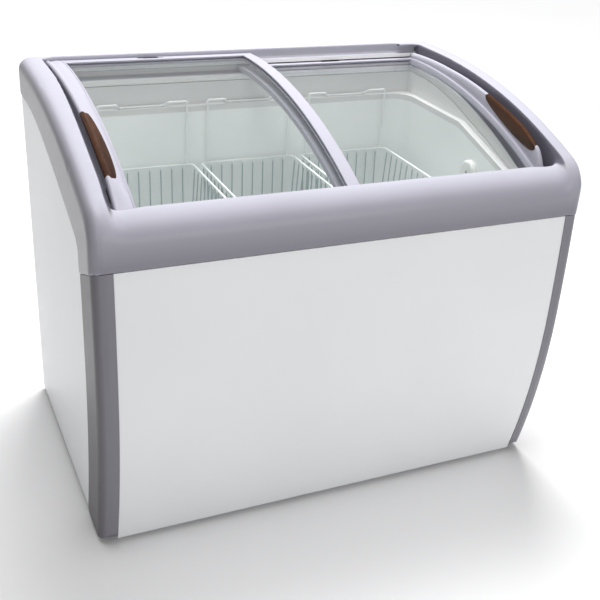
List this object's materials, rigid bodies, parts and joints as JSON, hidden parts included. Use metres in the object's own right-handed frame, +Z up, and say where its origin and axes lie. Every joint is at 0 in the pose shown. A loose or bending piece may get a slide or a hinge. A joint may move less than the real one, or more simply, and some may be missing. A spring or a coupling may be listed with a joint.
{
  "type": "chest freezer",
  "caption": "Display chest freezer with two curved sliding glass lids, bulged front panel, corner posts, moulded top frame, wire baskets and a cooling unit at the back.",
  "frame": {"origin": "on the floor, under the centre of the overall box", "axes": "+X to the freezer's right as its user faces it from the front, +Y to its back, +Z up; the front faces -Y"},
  "size_m": [1.01, 0.673, 0.83],
  "materials": {
    "white_steel": "gloss powder coat",
    "galvanised": "galvanised sheet",
    "lilac_plastic": "satin moulded plastic",
    "skirt_plastic": "satin extruded plastic",
    "white_liner": "smooth white liner",
    "foam": "rigid polyurethane foam",
    "glass": "clear tempered glass",
    "wood_insert": "glossy wood-look plastic",
    "glide_plastic": "low-friction plastic",
    "rubber": "soft rubber",
    "white_wire": "white plastic-coated wire",
    "white_plastic": "white plastic",
    "black_plastic": "black plastic",
    "black_steel": "black enamel",
    "copper": "bare copper tube",
    "aluminium": "plain aluminium",
    "zinc_steel": "zinc plated steel"
  },
  "bodies": {
    "cabinet": {"front_panel": "white_steel", "back_panel": "white_steel", "left_side_panel": "white_steel", "right_side_panel": "white_steel", "base_plate": "galvanised", "machine_bay_wall": "galvanised", "top_frame": "lilac_plastic", "left_corner_post": "lilac_plastic", "right_corner_post": "lilac_plastic", "inner_skirt": "skirt_plastic", "liner": "white_liner", "foam_insulation": "foam", "drain_tube": "white_plastic", "sensor_cap": "white_plastic", "sensor_screw": "zinc_steel", "sensor_probe": "copper", "compressor": "black_steel", "compressor_grommets": "rubber", "compressor_bolts": "zinc_steel", "start_relay_box": "black_plastic", "condenser_coil": "aluminium", "fan_bracket": "galvanised", "fan_motor": "black_steel", "filter_drier": "copper", "rear_grille": "black_plastic", "grille_screws": "zinc_steel", "thermostat_body": "white_plastic", "power_inlet": "black_plastic", "frame_screws": "zinc_steel", "evaporator_tube": "copper", "floor_pad_front_left": "rubber", "floor_pad_rear_left": "rubber", "floor_pad_front_right": "rubber", "floor_pad_rear_right": "rubber"},
    "lid_left": {"lid_left_glass": "glass", "lid_left_outer_stile": "lilac_plastic", "lid_left_inner_stile": "lilac_plastic", "lid_left_rear_rail": "lilac_plastic", "lid_left_front_rail": "lilac_plastic", "lid_left_handle_insert": "wood_insert", "lid_left_glides": "glide_plastic", "lid_left_bumpers": "rubber"},
    "lid_right": {"lid_right_glass": "glass", "lid_right_outer_stile": "lilac_plastic", "lid_right_inner_stile": "lilac_plastic", "lid_right_rear_rail": "lilac_plastic", "lid_right_front_rail": "lilac_plastic", "lid_right_handle_insert": "wood_insert", "lid_right_glides": "glide_plastic", "lid_right_bumpers": "rubber"},
    "basket_left": {"basket_left": "white_wire"},
    "basket_middle": {"basket_middle": "white_wire"},
    "basket_right": {"basket_right": "white_wire"},
    "fan": {"fan_blade": "black_plastic"},
    "knob": {"thermostat_knob": "black_plastic"},
    "plug": {"drain_plug": "rubber"}
  },
  "joints": [
    {"name": "lid_left_slide", "type": "slide", "parent": "cabinet", "child": "lid_left", "axis": [1, 0, 0], "range_m": [0, 0.404]},
    {"name": "lid_right_slide", "type": "slide", "parent": "cabinet", "child": "lid_right", "axis": [1, 0, 0], "range_m": [-0.404, 0]},
    {"name": "fan_spin", "type": "hinge", "parent": "cabinet", "child": "fan", "pos_m": [0.337, 0.205, 0.13], "axis": [0, 1, 0], "continuous": true},
    {"name": "thermostat_turn", "type": "hinge", "parent": "cabinet", "child": "knob", "pos_m": [0.43, 0.3146, 0.25], "axis": [0, 1, 0], "range_deg": [0, 270]},
    {"name": "drain_plug_pull", "type": "slide", "parent": "cabinet", "child": "plug", "axis": [0, 0, 1], "range_m": [0, 0.03]},
    {"name": "basket_left_lift", "type": "slide", "parent": "cabinet", "child": "basket_left", "axis": [0, 0, 1], "range_m": [0, 0.022]},
    {"name": "basket_middle_lift", "type": "slide", "parent": "cabinet", "child": "basket_middle", "axis": [0, 0, 1], "range_m": [0, 0.022]},
    {"name": "basket_right_lift", "type": "slide", "parent": "cabinet", "child": "basket_right", "axis": [0, 0, 1], "range_m": [0, 0.022]}
  ]
}
